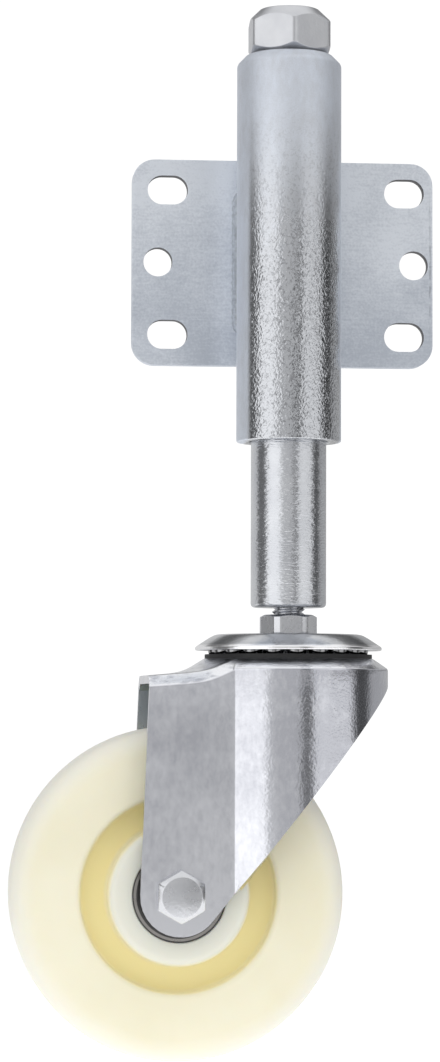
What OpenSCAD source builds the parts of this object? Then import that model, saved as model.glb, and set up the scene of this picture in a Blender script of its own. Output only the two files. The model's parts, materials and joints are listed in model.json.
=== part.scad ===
// Spring-loaded gate wheel: a plate with a guide tube, a sprung rod in the tube,
// and a swivel caster on the rod.
// Millimetres, +Z up. The origin is the centre of the plate's back face, which lies against the gate.
// X runs along the plate's width, and the tube stands in front of the plate, towards -Y.

/* [Mounting plate] */
// Width of the plate
plate_w = 94; // [88:1:130]
// Height of the plate
plate_h = 64; // [60:1:90]
// Thickness of the plate
plate_t = 4; // [3:0.5:6]
// Radius of the plate's corners
plate_corner_r = 7; // [2:0.5:10]
// Width of the four slots
slot_w = 9; // [6:0.5:11]
// Length of the four slots, end to end
slot_len = 12.5; // [11.5:0.5:16]
// Distance between slot centres across the plate
slot_dx = 74; // [60:1:76]
// Distance between slot centres up the plate
slot_dz = 45; // [30:1:48]
// Diameter of the two round holes
side_hole_d = 9; // [6:0.5:10]
// Distance between the round holes
side_hole_dx = 80; // [66:1:82]
// How far the punched holes sit to the right of the plate's centre
holes_shift = 1; // [0:0.1:1.2]

/* [Guide tube] */
// Outside diameter of the tube
tube_od = 32; // [30:0.5:40]
// Wall of the tube
tube_wall = 3.8; // [2.5:0.1:4.2]
// Length of the tube
tube_len = 118.8; // [110:0.2:160]
// How far the tube reaches below the plate's centre
tube_drop = 57; // [40:1:70]
// Width of the flat land left on the tube's top end
tube_land = 1; // [0.6:0.1:2]
// Height of the chamfer round the tube's top end
tube_chamfer_h = 2.9; // [1:0.1:8]
// Chamfer round the tube's mouth
mouth_chamfer = 0.6; // [0.2:0.1:1]
// Thickness of the plug that closes the tube's top end
plug_h = 8; // [5:0.5:12]
// Radius of the weld beads between tube and plate
weld_r = 4.4; // [3:0.1:5.5]
// Length of the weld beads
weld_len = 46; // [20:1:58]

/* [Slide rod] */
// Radial gap between the rod and the tube
rod_gap = 0.7; // [0.3:0.05:1.2]
// Length of rod that shows under the tube at rest
rod_reach = 50.4; // [45:0.2:70]
// Length of rod that the tube guides at rest
rod_guided = 30; // [24:1:34]
// Radial gap between the spindle and the plug
spindle_gap = 0.3; // [0.2:0.05:0.6]
// Chamfer on the rod's ends
rod_chamfer = 0.7; // [0.3:0.1:1.5]
// Wall of the top nut, from its thread to its flats
top_nut_wall = 4; // [3:0.1:5.5]
// Height of the top nut
top_nut_h = 14.2; // [10:0.2:18]

/* [Spring] */
// Diameter of the spring wire
wire_d = 3.2; // [2:0.1:4]
// Turns of the spring, counting the two closed ends
spring_turns = 11; // [8:1:13]
// Gap between the spring and the spindle inside it, and the tube around it
spring_gap = 0.5; // [0.3:0.05:0.8]

/* [Swivel head] */
// Diameter of the threaded stem
stem_d = 10; // [8:0.5:12]
// Length of stem screwed into the rod
stem_grip = 24; // [12:1:36]
// Length of stem that shows above the jam nut
stem_show = 2.2; // [1:0.2:6]
// Across the flats of the jam nut
jam_nut_af = 16; // [15:0.5:20]
// Height of the jam nut
jam_nut_h = 6; // [4:0.2:10]
// Diameter of the top race's rim
race_d = 56.8; // [54:0.2:60]
// Diameter of the top race's flat top
race_flat_d = 44; // [34:0.5:46]
// Height of the top race
race_h = 4.9; // [4.4:0.1:5.6]
// Sheet thickness of the two races
race_t = 2.2; // [1.6:0.1:2.6]
// Diameter of the upper balls
ball_d = 6; // [5:0.1:6.2]
// Radius of the upper balls' circle
ball_circle_r = 21.5; // [20.5:0.1:22]
// Number of upper balls
ball_count = 20; // [12:1:20]
// Diameter of the lower balls
low_ball_d = 4.8; // [4:0.1:5]
// Radius of the lower balls' circle
low_ball_circle_r = 13.5; // [12.5:0.1:14.5]
// Number of lower balls
low_ball_count = 16; // [8:1:16]

/* [Fork] */
// Sheet thickness of the fork
fork_t = 2.5; // [2:0.1:3]
// Distance between the fork's legs
leg_gap = 43; // [40:0.2:44]
// Outside radius of the fork's round crown
crown_r = 30.3; // [29:0.1:32]
// Width of the sloping shoulder along the fork's folds
shoulder_w = 4.8; // [4:0.1:5]
// Height of the sloping shoulder along the fork's folds
shoulder_h = 3.3; // [2.6:0.1:4]
// Drop from the crown's top to the axle
fork_drop = 70.5; // [68:0.1:90]
// Distance from the swivel axis back to the axle
trail = 34.5; // [30:0.5:42]
// Radius of the legs' round lower ends
leg_end_r = 12; // [9.5:0.5:15]
// Drop from the crown's top to the shelf's rear edge
shelf_drop = 5.3; // [4.5:0.1:7]
// Distance from the swivel axis back to the shelf's rear edge
shelf_reach = 44; // [38:0.5:48]
// Depth of the crown's front lip below the crown's top
lip_drop = 8; // [6:0.5:12]

/* [Wheel and axle] */
// Diameter of the wheel
wheel_d = 100; // [80:1:105]
// Width of the tread
tread_w = 32; // [26:0.5:34]
// Radius of the tread's edges
tread_edge_r = 7; // [3:0.5:9]
// Width of the hub
hub_w = 38; // [36:0.2:39.4]
// Diameter of the hub
hub_d = 42.2; // [38:0.2:46]
// Inside diameter of the rim, where the recess begins
rim_inner_d = 58.6; // [54:0.2:66]
// Thickness of the web between hub and rim
web_t = 20; // [8:0.5:24]
// Outside diameter of the bearings
bearing_od = 28; // [26:0.5:30]
// Bore of the bearings
bearing_bore = 12; // [11:0.5:13]
// Width of the bearings
bearing_w = 8; // [6:0.5:9]
// Balls in each bearing
bearing_balls = 8; // [6:1:9]
// Diameter of the axle bolt
axle_d = 8; // [6:0.5:9]
// Across the flats of the bolt's head and nut
axle_af = 13.8; // [12:0.2:15]
// Height of the bolt's head
axle_head_h = 5.3; // [4:0.1:7]
// Height of the axle nut
axle_nut_h = 8; // [6:0.2:10]

/* [Hidden] */
$fn = 96;
running_gap = 0.1; // between balls and their races, and round turning pieces
seat_gap = 0.02; // round pieces that are pressed or clamped in place
thread_gap = 0.05; // between a thread's crest and its nut
track_depth = 0.4; // how deep the balls sit in their tracks
through = 1; // how far a cut runs past the face it opens
beyond = 2 * (wheel_d + plate_w); // a length that reaches past the whole caster
nut_face = 0.93; // round face on a nut or bolt head, as a share of its width across the flats
nut_chamfer = 0.8; // how far the corners of a small nut are cut back

axis_y = -(plate_t + tube_od / 2);
tube_bottom = -tube_drop;
tube_top = tube_bottom + tube_len;
tube_bore_d = tube_od - 2 * tube_wall;
plug_bottom = tube_top - plug_h;
weld_bite = 0.6; // how deep a bead reaches into the tube's round
weld_x = sqrt(pow(tube_od / 2 + weld_r - weld_bite, 2) - pow(tube_od / 2, 2));

rod_d = tube_bore_d - 2 * rod_gap;
spindle_d = tube_bore_d - 2 * wire_d - 4 * spring_gap;
rod_bottom = tube_bottom - rod_reach;
shoulder_z = tube_bottom + rod_guided;
top_nut_top = tube_top + top_nut_h;
spindle_recess = 1; // how far the spindle's end stays inside the top nut
top_nut_af = spindle_d + 2 * top_nut_wall;
top_nut_turn = 30; // degrees that the nut is turned round its axis
top_nut_low_face = 0.9; // as nut_face, on the side that rests on the tube's end
top_nut_low_chamfer = 2.4;
top_nut_top_face = 0.76; // as nut_face, on the upper side
top_nut_top_chamfer = 4.6;
jam_nut_round = 1.09; // turned-down corners of the jam nut, as a share of its width across the flats

spring_mean_d = spindle_d + 2 * spring_gap + wire_d;
spring_len = plug_bottom - shoulder_z;

jam_nut_top = rod_bottom - stem_show;
race_top = jam_nut_top - jam_nut_h;
race_under = race_top - race_t;
race_bottom = race_top - race_h;
ball_z = race_under + track_depth - ball_d / 2;
crown_top = ball_z - ball_d / 2 + track_depth;
crown_under = crown_top - fork_t;
low_ball_z = crown_under + track_depth - low_ball_d / 2;
low_race_top = low_ball_z - low_ball_d / 2 + track_depth;
low_race_bottom = low_race_top - race_t;
low_race_margin = 1.2; // sheet left outside the lower balls
low_race_r = low_ball_circle_r + low_ball_d / 2 + low_race_margin;
race_lip = 1.4; // width of the flat edge under the top race's rim
race_lip_h = 1; // height of the upright edge of the top race's rim
race_shoulder_w = 2; // width of the round between the top race's flat and its slope
race_shoulder_h = 1;
pin_step = 2; // how far the king pin's plain shank stands out past its thread
pin_d = stem_d + 2 * pin_step;
pin_head_step = 3;
pin_head_d = stem_d + 2 * pin_head_step;
pin_head_h = 3;
crown_hole_gap = 2; // between the king pin's shank and the crown's hole
crown_hole_r = pin_d / 2 + crown_hole_gap;
seal_gap = 0.15; // between the upper balls and the seal
seal_r = ball_circle_r + ball_d / 2 + seal_gap;
seal_t = 0.8;
seal_h = 1.3;

leg_outer = leg_gap / 2 + fork_t;
axle_x = -trail;
axle_z = crown_top - fork_drop;
skirt_inner_r = crown_r - fork_t;
shelf_slope = 4; // degrees that the shelf falls towards the rear
ramp_slope = 30; // degrees of the short ramp between shelf and crown
leg_inset = 0.6; // how far a leg's end lies inside the crown's wall
leg_end_x = leg_inset - sqrt(crown_r * crown_r - leg_outer * leg_outer);
ramp_top_drop = 0.5; // how far the ramp's upper end lies below the crown's top
ramp_rise = shelf_drop - ramp_top_drop; // from the shelf's rear edge to the ramp's upper end
ramp_start_x = (ramp_rise - shelf_reach * tan(shelf_slope) - leg_end_x * tan(ramp_slope))
    / (tan(shelf_slope) - tan(ramp_slope));
fold_bulge = 0.05; // how far a fold stands proud of the flat sheet beside it
ramp_tightening = 0.7; // how much narrower the ramp's shoulders are than the shelf's
fold_overlap = 1; // how far a fold's upright edge reaches down over its leg
axle_gap = 0.15; // between the axle bolt and the fork's holes
fork_hole_d = axle_d + 2 * axle_gap;
bolt_tip = 1; // thread that shows past the axle nut
axle_collar = 0.3; // round collar on the axle nut, as a share of its height
axle_collar_face = 0.88; // as nut_face, on the collar

hub_shoulder = 3; // step in the hub's bore that the bearings rest against
hub_bore_d = bearing_bore + 2 * hub_shoulder;
hub_edge_r = 3; // round on the hub's outer edges
bearing_space = (bearing_od - bearing_bore) / 2;
bearing_pitch_r = (bearing_od + bearing_bore) / 4;
bearing_ball_d = 0.6 * bearing_space;
race_land = 0.28 * bearing_space; // radial thickness of a bearing race
cage_t = 0.24 * bearing_space; // radial thickness of the ball cage
cage_w = 0.6 * bearing_w; // width of the ball cage
shield_t = 0.5; // thickness of a bearing's shields
bearing_sink = 0.8; // how far a bearing lies below the hub's face
bearing_face = hub_w / 2 - bearing_sink; // the bearing's outer face, measured from the wheel's middle
bearing_middle = bearing_face - bearing_w / 2;

zinc = [0.72, 0.75, 0.79];
bright_zinc = [0.74, 0.74, 0.76];
dark_steel = [0.45, 0.45, 0.47];
nylon = [0.93, 0.91, 0.82];

// Shared shapes

// A rectangle centred on the origin with round corners
module rounded_rect(w, h, r) {
    square([w - 2 * r, h], center = true);
    square([w, h - 2 * r], center = true);
    for (x = [-1, 1], y = [-1, 1])
        translate([x * (w / 2 - r), y * (h / 2 - r)]) circle(r);
}

// A slot along x, centred on the origin
module slot(len, w) {
    square([len - w, w], center = true);
    for (x = [-1, 1])
        translate([x * (len - w) / 2, 0]) circle(d = w);
}

// A plain ring standing on z = 0
module ring(outer_r, inner_r, h) {
    rotate_extrude()
        translate([inner_r, 0]) square([outer_r - inner_r, h]);
}

// A hexagon bar standing on z = 0, its corners cut back by a cone at each end to a round face.
// A face is a share of the width across the flats, and a cut of 0 leaves that end square.
module hex_barrel(af, h, low_face, low_cut, top_face, top_cut) {
    corner_r = af / sqrt(3);
    low_r = low_cut > 0 ? low_face * af / 2 : corner_r;
    top_r = top_cut > 0 ? top_face * af / 2 : corner_r;
    intersection() {
        cylinder(r = corner_r, h = h, $fn = 6);
        rotate_extrude()
            polygon([
                [0, 0], [low_r, 0], [corner_r, low_cut],
                [corner_r, h - top_cut], [top_r, h], [0, h]
            ]);
    }
}

// Balls in a circle at height z = 0
module ball_circle(d, r, count) {
    for (i = [0 : count - 1])
        rotate(i * 360 / count) translate([r, 0, 0]) sphere(d = d);
}

// A round track for balls, to be cut from a race
module ball_track(d, r) {
    rotate_extrude()
        translate([r, 0]) circle(d = d + 2 * running_gap);
}

// Places children on the tube's axis
module on_axis(z) {
    translate([0, axis_y, z]) children();
}

// Places children on the axle, with +Z turned along -Y, towards the near leg
module on_axle(out) {
    translate([axle_x, axis_y, axle_z]) rotate([90, 0, 0]) translate([0, 0, out]) children();
}

// Near and far copies of a bearing piece: side 1 is near, -1 is far
module on_bearing(side) {
    on_axle(side * bearing_middle) children();
}

// Plate and tube

module mounting_plate() {
    color(zinc) rotate([90, 0, 0]) linear_extrude(plate_t)
        difference() {
            rounded_rect(plate_w, plate_h, plate_corner_r);
            for (x = [-1, 1], z = [-1, 1])
                translate([holes_shift + x * slot_dx / 2, z * slot_dz / 2]) slot(slot_len, slot_w);
            for (x = [-1, 1])
                translate([holes_shift + x * side_hole_dx / 2, 0]) circle(d = side_hole_d);
        }
}

module guide_tube() {
    outer_r = tube_od / 2;
    bore_r = tube_bore_d / 2;
    color(zinc) on_axis(tube_bottom)
        rotate_extrude()
            polygon([
                [bore_r + mouth_chamfer, 0], [outer_r - mouth_chamfer, 0], [outer_r, mouth_chamfer],
                [outer_r, tube_len - tube_chamfer_h], [bore_r + tube_land, tube_len], [bore_r, tube_len],
                [bore_r, mouth_chamfer]
            ]);
}

// A bead fills the wedge between tube and plate on each side
module weld_beads() {
    color(zinc) for (side = [-1, 1])
        translate([0, 0, -weld_len / 2]) linear_extrude(weld_len)
            difference() {
                translate([side * weld_x, -plate_t]) circle(weld_r);
                translate([0, axis_y]) circle(d = tube_od);
                translate([-plate_w / 2, -plate_t]) square([plate_w, 2 * weld_r]);
            }
}

module tube_plug() {
    color(zinc) on_axis(plug_bottom)
        ring(tube_bore_d / 2 - seat_gap, spindle_d / 2 + spindle_gap, plug_h);
}

// Spring

// One ring of points round the wire at a share of the way along the spring
wire_sides = 8;
steps_per_turn = 16;
closed_turns = 1; // turns at each end that lie against their neighbour
coil_steps = spring_turns * steps_per_turn;
open_pitch = (spring_len - wire_d - 2 * closed_turns * wire_d) / (spring_turns - 2 * closed_turns);

function coil_height(turn) =
    turn < closed_turns ? turn * wire_d
    : turn > spring_turns - closed_turns ? spring_len - wire_d - (spring_turns - turn) * wire_d
    : closed_turns * wire_d + (turn - closed_turns) * open_pitch;
function wire_point(turn, side) =
    let (a = 360 * turn, b = 360 * side / wire_sides, r = (spring_mean_d + wire_d * cos(b)) / 2)
    [r * cos(a), r * sin(a), wire_d / 2 + coil_height(turn) + wire_d / 2 * sin(b)];

module spring() {
    rings = [for (i = [0 : coil_steps], k = [0 : wire_sides - 1]) wire_point(i / steps_per_turn, k)];
    sides = [
        for (i = [0 : coil_steps - 1], k = [0 : wire_sides - 1])
            let (n = (k + 1) % wire_sides, low = i * wire_sides, high = low + wire_sides)
            [low + k, high + k, high + n, low + n]
    ];
    first_end = [for (k = [0 : wire_sides - 1]) k];
    last_end = [for (k = [0 : wire_sides - 1]) coil_steps * wire_sides + wire_sides - 1 - k];
    color(dark_steel) on_axis(shoulder_z)
        polyhedron(points = rings, faces = concat(sides, [first_end], [last_end]));
}

// Rod and nuts

module slide_rod() {
    rod_r = rod_d / 2;
    spindle_r = spindle_d / 2;
    spindle_end = top_nut_top - spindle_recess;
    color(bright_zinc) translate([0, axis_y, 0])
        difference() {
            rotate_extrude()
                polygon([
                    [0, rod_bottom], [rod_r - rod_chamfer, rod_bottom], [rod_r, rod_bottom + rod_chamfer],
                    [rod_r, shoulder_z - rod_chamfer], [rod_r - rod_chamfer, shoulder_z],
                    [spindle_r, shoulder_z], [spindle_r, spindle_end - rod_chamfer],
                    [spindle_r - rod_chamfer, spindle_end], [0, spindle_end]
                ]);
            translate([0, 0, rod_bottom - through])
                cylinder(d = stem_d + 2 * thread_gap, h = stem_grip + 2 * through);
        }
}

module top_nut() {
    color(bright_zinc) on_axis(tube_top)
        difference() {
            rotate(top_nut_turn)
                hex_barrel(top_nut_af, top_nut_h, top_nut_low_face, top_nut_low_chamfer,
                    top_nut_top_face, top_nut_top_chamfer);
            translate([0, 0, -through])
                cylinder(d = spindle_d + 2 * thread_gap, h = top_nut_h + 2 * through);
        }
}

module jam_nut() {
    color(bright_zinc) on_axis(race_top)
        difference() {
            intersection() {
                hex_barrel(jam_nut_af, jam_nut_h, nut_face, nut_chamfer, nut_face, nut_chamfer);
                cylinder(d = jam_nut_round * jam_nut_af, h = jam_nut_h);
            }
            translate([0, 0, -through])
                cylinder(d = stem_d + 2 * thread_gap, h = jam_nut_h + 2 * through);
        }
}

// Swivel head

// The pin is screwed into the rod at the top and headed over under the lower race
module king_pin() {
    stem_r = stem_d / 2;
    color(bright_zinc) translate([0, axis_y, 0])
        rotate_extrude()
            polygon([
                [0, rod_bottom + stem_grip], [stem_r - rod_chamfer, rod_bottom + stem_grip],
                [stem_r, rod_bottom + stem_grip - rod_chamfer], [stem_r, race_under],
                [pin_d / 2, race_under], [pin_d / 2, low_race_top], [stem_r, low_race_top],
                [stem_r, low_race_bottom], [pin_head_d / 2, low_race_bottom],
                [pin_head_d / 2, low_race_bottom - pin_head_h / 3],
                [pin_head_d / 4, low_race_bottom - pin_head_h], [0, low_race_bottom - pin_head_h]
            ]);
}

// A dished disc whose rim reaches out over the balls
module top_race() {
    hole_r = stem_d / 2 + seat_gap;
    flat_r = race_flat_d / 2;
    rim_r = race_d / 2;
    color(bright_zinc) translate([0, axis_y, 0])
        difference() {
            rotate_extrude()
                polygon([
                    [hole_r, race_under], [hole_r, race_top], [flat_r, race_top],
                    [flat_r + race_shoulder_w, race_top - race_shoulder_h],
                    [rim_r, race_bottom + race_lip_h], [rim_r, race_bottom], [rim_r - race_lip, race_bottom],
                    [flat_r + race_shoulder_w / 2, race_under - race_shoulder_h / 2], [flat_r, race_under]
                ]);
            translate([0, 0, ball_z]) ball_track(ball_d, ball_circle_r);
        }
}

module lower_race() {
    color(dark_steel) translate([0, axis_y, 0])
        difference() {
            translate([0, 0, low_race_bottom]) ring(low_race_r, stem_d / 2 + seat_gap, race_t);
            translate([0, 0, low_ball_z]) ball_track(low_ball_d, low_ball_circle_r);
        }
}

// Fork

// Point where a line from p touches the circle of radius r round c: side 1 or -1 picks the tangent
function tangent_point(c, r, p, side) =
    let (d = p - c, reach = norm(d), a = atan2(d[1], d[0]) + side * acos(r / reach))
    c + r * [cos(a), sin(a)];

// The fork's outline from the side: x along the shelf, y up
module fork_outline() {
    axle = [axle_x, axle_z];
    rear = [-shelf_reach, crown_top - shelf_drop];
    lip = [crown_r, crown_top - lip_drop];
    polygon([
        axle, tangent_point(axle, leg_end_r, lip, -1), lip, [crown_r, crown_top],
        [-shelf_reach, crown_top], rear, tangent_point(axle, leg_end_r, rear, 1)
    ]);
    translate(axle) circle(leg_end_r);
}

module fork_side_block() {
    rotate([90, 0, 0]) linear_extrude(beyond, center = true) fork_outline();
}

// The inside of a shoulder [width, height], one sheet thickness below its outside
function shoulder_inside(s) =
    let (slope = atan2(s[1], s[0]))
    s + fork_t * [tan(slope / 2) - 1, tan(45 - slope / 2) - 1];

// A bar's end view with its two upper corners cut to a shoulder [width, height], top edge on y = 0
module shouldered(w, depth, s) {
    polygon([
        [-w / 2, -depth], [w / 2, -depth], [w / 2, -s[1]],
        [w / 2 - s[0], 0], [s[0] - w / 2, 0], [-w / 2, -s[1]]
    ]);
}

// A leg's flat sheet hangs on the fold above it
module leg_sheet(side) {
    top = crown_top - shelf_drop - shoulder_h;
    translate([0, side * (leg_gap + fork_t) / 2, 0])
        rotate([90, 0, 0]) linear_extrude(fork_t, center = true)
            intersection() {
                fork_outline();
                translate([leg_end_x - beyond, top - beyond]) square([beyond, beyond]);
            }
}

// The top of the fork from x to x_end, folded down over a shoulder at both sides.
// Its upper face rises along x, from height z.
// The folds stand proud of the legs' faces by bulge, as sheet does where it is folded.
module folded_top(x, z, x_end, slope, shoulder, bulge) {
    reach = 2 * trail;
    low = crown_top - shelf_drop - shoulder_h - fold_overlap;
    intersection() {
        translate([x, 0, z]) rotate([0, -slope, 0]) translate([-reach, 0, 0]) rotate([90, 0, 90])
            linear_extrude(2 * reach)
                difference() {
                    shouldered(2 * (leg_outer + bulge), reach, shoulder);
                    translate([0, -fork_t])
                        shouldered(leg_gap - 2 * bulge, reach, shoulder_inside(shoulder));
                }
        translate([x, -leg_gap, low]) cube([x_end - x, 2 * leg_gap, reach]);
    }
}

// The round crown with its shoulder and skirt, before it is trimmed
module crown_cup() {
    depth = fork_drop;
    inside = shoulder_inside([shoulder_w, shoulder_h]);
    translate([0, 0, crown_top]) rotate_extrude()
        polygon([
            [0, 0], [crown_r - shoulder_w, 0], [crown_r, -shoulder_h], [crown_r, -depth],
            [skirt_inner_r, -depth], [skirt_inner_r, -fork_t - inside[1]],
            [skirt_inner_r - inside[0], -fork_t], [0, -fork_t]
        ]);
}

module fork() {
    shelf_z = crown_top - shelf_drop;
    ramp_z = shelf_z + (shelf_reach + ramp_start_x) * tan(shelf_slope);
    shelf_x = -shelf_reach - 2 * shoulder_w; // behind what the side outline keeps
    shelf_shoulder = [shoulder_w, shoulder_h];
    ramp_shoulder = shelf_shoulder - [ramp_tightening, ramp_tightening];
    color(bright_zinc) translate([0, axis_y, 0])
        difference() {
            intersection() {
                union() {
                    difference() {
                        crown_cup();
                        translate([-2 * crown_r, -leg_gap / 2, crown_top - beyond])
                            cube([2 * crown_r, leg_gap, beyond - shelf_drop - fork_t]);
                    }
                    difference() {
                        union() {
                            folded_top(shelf_x, shelf_z + (shelf_x + shelf_reach) * tan(shelf_slope),
                                ramp_start_x, shelf_slope, shelf_shoulder, fold_bulge);
                            folded_top(ramp_start_x, ramp_z - fold_bulge,
                                leg_end_x, ramp_slope, ramp_shoulder, 2 * fold_bulge);
                            for (side = [-1, 1]) leg_sheet(side);
                        }
                        translate([0, 0, crown_top - beyond])
                            cylinder(r = skirt_inner_r, h = beyond - fork_t);
                    }
                }
                fork_side_block();
            }
            translate([0, 0, crown_under - through]) cylinder(r = crown_hole_r, h = fork_t + 2 * through);
            translate([0, 0, ball_z]) ball_track(ball_d, ball_circle_r);
            translate([0, 0, low_ball_z]) ball_track(low_ball_d, low_ball_circle_r);
            translate([axle_x, 0, axle_z]) rotate([90, 0, 0])
                cylinder(d = fork_hole_d, h = 2 * leg_outer + 2 * through, center = true);
        }
}

module dust_seal() {
    color("black") on_axis(crown_top)
        ring(seal_r + seal_t, seal_r, seal_h);
}

module upper_balls() {
    color("silver") on_axis(ball_z) ball_circle(ball_d, ball_circle_r, ball_count);
}

module lower_balls() {
    color("silver") on_axis(low_ball_z) ball_circle(low_ball_d, low_ball_circle_r, low_ball_count);
}

// Axle

module axle_bolt() {
    shank = 2 * leg_outer + axle_nut_h + bolt_tip;
    color(bright_zinc) {
        on_axle(leg_outer) rotate(30)
            hex_barrel(axle_af, axle_head_h, 1, 0, nut_face, nut_chamfer);
        on_axle(leg_outer - shank) cylinder(d = axle_d, h = shank);
    }
}

module axle_nut() {
    collar_h = axle_collar * axle_nut_h;
    color(bright_zinc) on_axle(-leg_outer - axle_nut_h)
        difference() {
            union() {
                translate([0, 0, collar_h])
                    hex_barrel(axle_af, axle_nut_h - collar_h, nut_face, nut_chamfer, 1, 0);
                cylinder(d = axle_collar_face * axle_af, h = axle_nut_h / 2);
            }
            translate([0, 0, -through])
                cylinder(d = axle_d + 2 * thread_gap, h = axle_nut_h + 2 * through);
        }
}

module axle_sleeve() {
    color(dark_steel) on_axle(-leg_gap / 2)
        ring(bearing_bore / 2 - seat_gap, axle_d / 2 + running_gap, leg_gap);
}

// Bearings

// A race between two radii, with the ball track cut from it
module bearing_race(inner_r, outer_r) {
    difference() {
        translate([0, 0, -bearing_w / 2]) ring(outer_r, inner_r, bearing_w);
        ball_track(bearing_ball_d, bearing_pitch_r);
    }
}

module bearing_inner_race(side) {
    color("silver") on_bearing(side)
        bearing_race(bearing_bore / 2, bearing_bore / 2 + race_land);
}

module bearing_outer_race(side) {
    color("silver") on_bearing(side)
        bearing_race(bearing_od / 2 - race_land, bearing_od / 2);
}

module bearing_ball_set(side) {
    color("silver") on_bearing(side)
        ball_circle(bearing_ball_d, bearing_pitch_r, bearing_balls);
}

// A ribbon round the pitch circle with a pocket for each ball
module ball_cage(side) {
    color("goldenrod") on_bearing(side)
        difference() {
            translate([0, 0, -cage_w / 2])
                ring(bearing_pitch_r + cage_t / 2, bearing_pitch_r - cage_t / 2, cage_w);
            ball_circle(bearing_ball_d + 2 * running_gap, bearing_pitch_r, bearing_balls);
        }
}

// A thin disc closes each side of a bearing, held in the outer race
module bearing_shields(side) {
    color(dark_steel) on_bearing(side)
        for (face = [0, 1])
            translate([0, 0, face * (bearing_w - shield_t) - bearing_w / 2])
                ring(bearing_od / 2 - race_land - seat_gap,
                    bearing_bore / 2 + race_land + 2 * running_gap, shield_t);
}

// Wheel

// Half of the wheel's section: x is the radius, y the distance from the wheel's middle
module wheel_half_section() {
    wheel_r = wheel_d / 2;
    half_tread = tread_w / 2;
    half_hub = hub_w / 2;
    half_web = web_t / 2;
    rim_r = rim_inner_d / 2;
    hub_r = hub_d / 2;
    // rim with its round edge
    translate([rim_r, 0]) square([wheel_r - rim_r, half_tread - tread_edge_r]);
    translate([rim_r, 0]) square([wheel_r - rim_r - tread_edge_r, half_tread]);
    translate([wheel_r - tread_edge_r, half_tread - tread_edge_r]) circle(tread_edge_r);
    // web
    translate([hub_bore_d / 2, 0]) square([wheel_r - tread_edge_r - hub_bore_d / 2, half_web]);
    // hub with its round edge
    translate([hub_bore_d / 2, 0]) square([hub_r - hub_bore_d / 2, half_hub - hub_edge_r]);
    translate([hub_bore_d / 2, 0]) square([hub_r - hub_edge_r - hub_bore_d / 2, half_hub]);
    translate([hub_r - hub_edge_r, half_hub - hub_edge_r]) circle(hub_edge_r);
}

module wheel() {
    seat_depth = hub_w / 2 - bearing_face + bearing_w;
    color(nylon) on_axle(0)
        difference() {
            rotate_extrude()
                for (side = [0, 1])
                    mirror([0, side]) wheel_half_section();
            for (side = [0, 1])
                mirror([0, 0, side]) translate([0, 0, hub_w / 2 - seat_depth])
                    cylinder(d = bearing_od + 2 * seat_gap, h = seat_depth + through);
        }
}

mounting_plate();
guide_tube();
weld_beads();
tube_plug();
spring();
slide_rod();
top_nut();
jam_nut();
king_pin();
top_race();
lower_race();
fork();
dust_seal();
upper_balls();
lower_balls();
axle_bolt();
axle_nut();
axle_sleeve();
bearing_inner_race(1);  // near_inner_race
bearing_inner_race(-1);  // far_inner_race
wheel();
bearing_outer_race(1);  // near_outer_race
bearing_outer_race(-1);  // far_outer_race
bearing_ball_set(1);  // near_bearing_balls
bearing_ball_set(-1);  // far_bearing_balls
ball_cage(1);  // near_ball_cage
ball_cage(-1);  // far_ball_cage
bearing_shields(1);  // near_bearing_shields
bearing_shields(-1);  // far_bearing_shields
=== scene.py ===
# Spring-loaded gate wheel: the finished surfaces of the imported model, in metres, in its own frame.
import json
import math

import bmesh
import bpy
from mathutils import Matrix, Vector


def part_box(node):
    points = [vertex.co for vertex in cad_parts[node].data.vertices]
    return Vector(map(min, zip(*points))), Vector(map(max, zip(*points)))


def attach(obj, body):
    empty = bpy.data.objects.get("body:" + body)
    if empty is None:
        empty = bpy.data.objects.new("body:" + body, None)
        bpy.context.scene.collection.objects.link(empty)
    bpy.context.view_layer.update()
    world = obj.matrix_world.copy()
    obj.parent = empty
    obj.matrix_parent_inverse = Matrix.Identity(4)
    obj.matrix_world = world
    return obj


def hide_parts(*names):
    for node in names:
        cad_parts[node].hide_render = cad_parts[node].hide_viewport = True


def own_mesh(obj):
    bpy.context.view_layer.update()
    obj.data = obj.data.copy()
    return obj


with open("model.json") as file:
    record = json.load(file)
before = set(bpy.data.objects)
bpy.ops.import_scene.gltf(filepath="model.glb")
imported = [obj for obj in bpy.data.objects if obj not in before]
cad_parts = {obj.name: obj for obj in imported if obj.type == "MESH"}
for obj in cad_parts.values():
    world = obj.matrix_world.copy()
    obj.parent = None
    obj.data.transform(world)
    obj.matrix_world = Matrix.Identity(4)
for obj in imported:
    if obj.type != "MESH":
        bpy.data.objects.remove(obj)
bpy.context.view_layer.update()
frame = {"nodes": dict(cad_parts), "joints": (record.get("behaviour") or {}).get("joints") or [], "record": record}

# Mounting plate
# A punched sheet of mild steel with four short slots and two round holes for the gate's bolts.
# The punch rolls its front edges over, and it is zinc plated to a soft blue-grey.


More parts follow.
